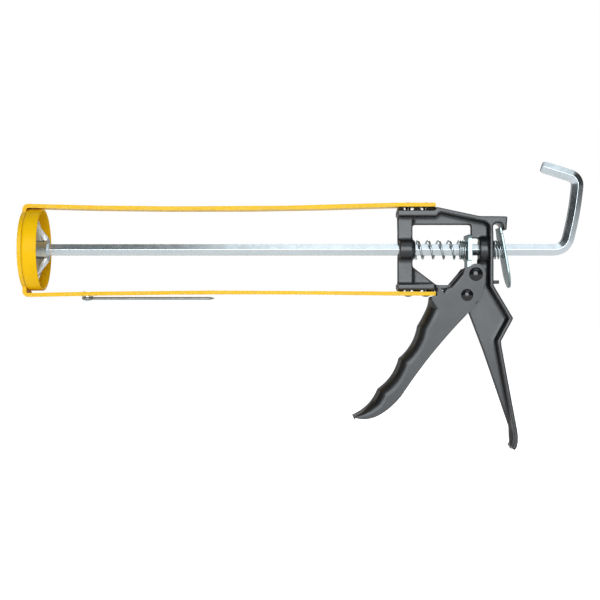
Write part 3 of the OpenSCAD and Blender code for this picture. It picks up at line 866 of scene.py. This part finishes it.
def trigger_half(sizes, stations=300):
    """One half of the pressed channel, as a grid of stations down its length and steps round its
    section: half the front wall, the bend as a quarter circle, and the side out to the back edge.
    The cheek is flat between the head's lips and the grip, where a pointed ear stands on it."""
    front, back, cheek_end = trigger_curves()
    share = np.linspace(0, 1, stations)
    edge = smoothed(resampled(front, share), 2)
    flat_from, ear_from, ear_to, flat_to, grip = (share_at(front, i) for i in (1, 2, 3, 4, 19))
    marks = [0, flat_to, grip, 1]
    matches = [0, share_at(back, cheek_end), share_at(back, cheek_end + 9), 1]
    rear = resampled(back, np.interp(share, marks, matches))
    along = np.gradient(smoothed(edge, 60), axis=0)
    inward = np.stack([-along[:, 1], along[:, 0]], -1)
    inward /= np.linalg.norm(inward, axis=1)[:, None]
    inward = smoothed(inward, 12)
    width = np.linalg.norm(rear - edge, axis=1)
    lip, full = sizes.lip_bend / MM, sizes.trigger_bend / MM
    step = 1.0 / np.linalg.norm(np.diff(front, axis=0), axis=1).sum()
    at = [0, 4 * step, flat_from - 5 * step, flat_from - step, flat_to + step]
    bends = [0.4, lip, lip, 0, 0, full]
    bend = np.minimum(np.interp(share, [*at, flat_to + 6 * step], bends), 0.7 * width)
    gaps = [HALF_WIDTH - 0.4, LIP_OPENING, LIP_OPENING, HALF_WIDTH, HALF_WIDTH, 0.0]
    opening = np.interp(share, [*at, flat_to + 3 * step], gaps)
    opening = np.minimum(opening, HALF_WIDTH - bend)
    wall = np.linspace(0, 1, 7)[None, :, None]
    y_wall = opening[:, None, None] + (HALF_WIDTH - bend - opening)[:, None, None] * wall
    flat = np.concatenate([edge[:, None, :] + 0 * wall, y_wall], -1)
    a = np.linspace(0, np.pi / 2, 12)[None, 1:, None]
    b = bend[:, None, None]
    rolled = edge[:, None] + inward[:, None] * b * (1 - np.cos(a))
    rolled = np.concatenate([rolled, HALF_WIDTH - b + b * np.sin(a)], -1)
    t = np.linspace(0, 1, 22)[None, 1:, None]
    side = rolled[:, -1:, :2] * (1 - t) + rear[:, None] * t
    side = np.concatenate([side, HALF_WIDTH + 0 * side[..., :1]], -1)
    half = np.concatenate([flat, rolled, side], 1)[..., [0, 2, 1]]
    under = np.flatnonzero((share >= ear_from) & (share <= ear_to))
    tip = (PIVOT[0] + EAR_TIP[0], HALF_WIDTH, PIVOT[1] + EAR_TIP[1])
    ear = np.concatenate([[tip], half[under, 0]])
    n = np.arange(1, len(under))
    ear_faces = np.stack([0 * n, n + 1, n, n], -1)
    return half, (ear, ear_faces)


class BuildTrigger(GunOperator, Operator):
    """Presses the trigger from sheet: two sides, a rolled front with finger grooves and open lips"""

    bl_idname = "caulking_gun.trigger"
    bl_label = "Trigger"

    def execute(self, context):
        half, (ear, ear_faces) = trigger_half(self.sizes(context))
        faces = grid_faces(*half.shape[:2])
        parts = [(half, faces), (ear, ear_faces)]
        parts += [(points * (1, -1, 1), faces[:, ::-1]) for points, faces in parts]
        piece = add_mesh("trigger_channel", parts, turn_out=False)
        work = bmesh.new()
        work.from_mesh(piece.data)
        bmesh.ops.recalc_face_normals(work, faces=work.faces)
        side = max(work.faces, key=lambda f: f.calc_center_median().y)
        if side.normal.y < 0:
            bmesh.ops.reverse_faces(work, faces=work.faces)
        work.to_mesh(piece.data)
        work.free()
        wall = piece.modifiers.new("sheet", "SOLIDIFY")
        wall.thickness, wall.offset = SHEET * MM, -1.0
        wall.use_even_offset = False
        edge = piece.modifiers.new("edges", "BEVEL")
        edge.width, edge.segments = 0.00028, 2
        edge.limit_method, edge.angle_limit = "ANGLE", math.radians(60)
        flat_stays_flat(piece, 60.0)
        dressed(piece.name, "trigger", "black_sheet_paint", "trigger", "trigger")
        return {"FINISHED"}


# ---- small pieces that keep their own shape ----

KEPT = (
    ("drive_pin_sleeve", "plate"),
    ("release_stop_pin", "rivet"),
    # the wire's finish is zinc darkened as painted shade from the strap over it
    ("piercing_wire", "wire"),
    ("piercing_rivet", "plate"),
    ("piercing_washer", "plate"),
)


class FinishSmallParts(GunOperator, Operator):
    """Gives the pieces that keep their own shape their finishes"""

    bl_idname = "caulking_gun.small_parts"
    bl_label = "Small parts"

    def execute(self, context):
        for node, finish in KEPT:
            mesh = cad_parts[node].data
            mesh.materials.clear()
            mesh.materials.append(FINISHES[finish])
        return {"FINISHED"}


# ---- studio ----

EYE = (0.1705, -0.806, -0.0311)
# how far the floor lies below the casting's foot
FLOOR_DROP = 0.045


def softbox(name, place, target, width, height, radiance, tint=(1.0, 1.0, 1.0)):
    """A square light that faces its target; the radiance is what a mirror would show."""
    light = bpy.data.lights.new(name, "AREA")
    light.shape, light.size, light.size_y = "RECTANGLE", width, height
    light.energy = radiance * math.pi * width * height
    light.color = tint
    lamp = bpy.data.objects.new(name, light)
    lamp.location = place
    lamp.rotation_mode = "QUATERNION"
    lamp.rotation_quaternion = (Vector(target) - Vector(place)).to_track_quat("-Z", "Y")
    bpy.context.collection.objects.link(lamp)


def white_room():
    """White to the eye and bright behind the gun, dark beside and before it, so that a rounded black
    edge shows as a dark band with a light rim."""
    world = bpy.data.worlds.new("room")
    bpy.context.scene.world = world
    world.use_nodes = True
    tree = world.node_tree
    tree.nodes.clear()
    way = tree.nodes.new("ShaderNodeTexCoord")
    split = tree.nodes.new("ShaderNodeSeparateXYZ")
    tree.links.new(way.outputs["Generated"], split.inputs[0])
    depth = tree.nodes.new("ShaderNodeMapRange")
    depth.inputs["From Min"].default_value, depth.inputs["From Max"].default_value = 0.35, 0.9
    depth.inputs["To Min"].default_value, depth.inputs["To Max"].default_value = 0.045, 0.3
    tree.links.new(split.outputs["Y"], depth.inputs["Value"])
    seen = tree.nodes.new("ShaderNodeLightPath")
    shown = tree.nodes.new("ShaderNodeMix")
    tree.links.new(seen.outputs["Is Camera Ray"], shown.inputs[0])
    tree.links.new(depth.outputs[0], shown.inputs[2])
    shown.inputs[3].default_value = 1.0
    back = tree.nodes.new("ShaderNodeBackground")
    back.inputs["Color"].default_value = (1, 1, 1, 1)
    tree.links.new(shown.outputs[0], back.inputs["Strength"])
    out = tree.nodes.new("ShaderNodeOutputWorld")
    tree.links.new(back.outputs[0], out.inputs["Surface"])


class BuildStudio(GunOperator, Operator):
    """Lays a pale floor, hangs the soft lights and sets the camera square to the gun's side"""

    bl_idname = "caulking_gun.studio"
    bl_label = "Studio"

    def execute(self, context):
        level = span("handle_casting")[0][2] * MM - FLOOR_DROP
        size = 6.0
        mesh = bpy.data.meshes.new("floor")
        corners = [(size * x, size * y, level) for x, y in ((-1, -1), (1, -1), (1, 1), (-1, 1))]
        mesh.from_pydata(corners, [], [(0, 1, 2, 3)])
        floor = bpy.data.objects.new("floor", mesh)
        context.collection.objects.link(floor)
        paper = Finish("pale_floor")
        seen = paper.node("ShaderNodeLightPath")["Is Camera Ray"]
        paper.surface(
            Base_Color=(0.8, 0.8, 0.8, 1),
            Roughness=0.9,
            Emission_Color=(1, 1, 1, 1),
            Emission_Strength=0.32 + seen * 0.65,
        )
        mesh.materials.append(paper.material)
        white_room()
        middle = (0.2, 0.0, 0.0)
        cool = (0.9, 0.96, 1.0)
        softbox("front", (0.2, -1.75, 0.36), middle, 1.25, 1.12, 6.0, cool)
        softbox("overhead", (0.57, -0.62, 1.05), (0.57, 0, 0), 1.06, 0.6, 1.15, cool)
        softbox("rear", (0.2, 1.5, 1.35), middle, 1.6, 0.9, 3.4)
        softbox("rear_left", (-1.5, 0.9, 0.6), middle, 0.7, 0.9, 1.6)
        softbox("ceiling", (-0.25, -0.62, 1.06), (0, 0, 0), 1.1, 0.7, 0.15, cool)
        camera = bpy.data.objects.new("camera", bpy.data.cameras.new("camera"))
        camera.location = EYE
        camera.rotation_euler = (math.radians(90), 0, 0)
        camera.data.sensor_width, camera.data.lens = 36.0, 78.0
        context.collection.objects.link(camera)
        context.scene.camera = camera
        context.scene.view_settings.view_transform = "Standard"
        return {"FINISHED"}


# ---- panel ----

STEPS = (
    BuildCradle,
    BuildPiston,
    BuildRod,
    BuildCasting,
    BuildTrigger,
    BuildRivets,
    BuildPlates,
    BuildSprings,
    FinishSmallParts,
    BuildStudio,
)


class CaulkingGunPanel(Panel):
    """Lists the sizes, the colours and the steps that build the gun"""

    bl_idname = "VIEW3D_PT_caulking_gun"
    bl_label = "Caulking Gun"
    bl_space_type = "VIEW_3D"
    bl_region_type = "UI"
    bl_category = "Caulking Gun"

    def draw(self, context):
        for settings in (context.scene.caulking_gun_sizes, context.scene.caulking_gun_paint):
            for key in settings.__annotations__:
                self.layout.prop(settings, key)
        for step in STEPS:
            self.layout.operator(step.bl_idname)


CLASSES = (GunPaint, GunSizes, *STEPS, CaulkingGunPanel)


def register():
    for cls in CLASSES:
        bpy.utils.register_class(cls)
    bpy.types.Scene.caulking_gun_paint = PointerProperty(type=GunPaint)
    bpy.types.Scene.caulking_gun_sizes = PointerProperty(type=GunSizes)


def unregister():
    del bpy.types.Scene.caulking_gun_paint
    del bpy.types.Scene.caulking_gun_sizes
    for cls in reversed(CLASSES):
        bpy.utils.unregister_class(cls)


def main():
    register()
    FINISHES.update(paint_all(bpy.context.scene.caulking_gun_paint))
    for step in STEPS:
        group, name = step.bl_idname.split(".")
        getattr(getattr(bpy.ops, group), name)()


if __name__ == "__main__":
    main()
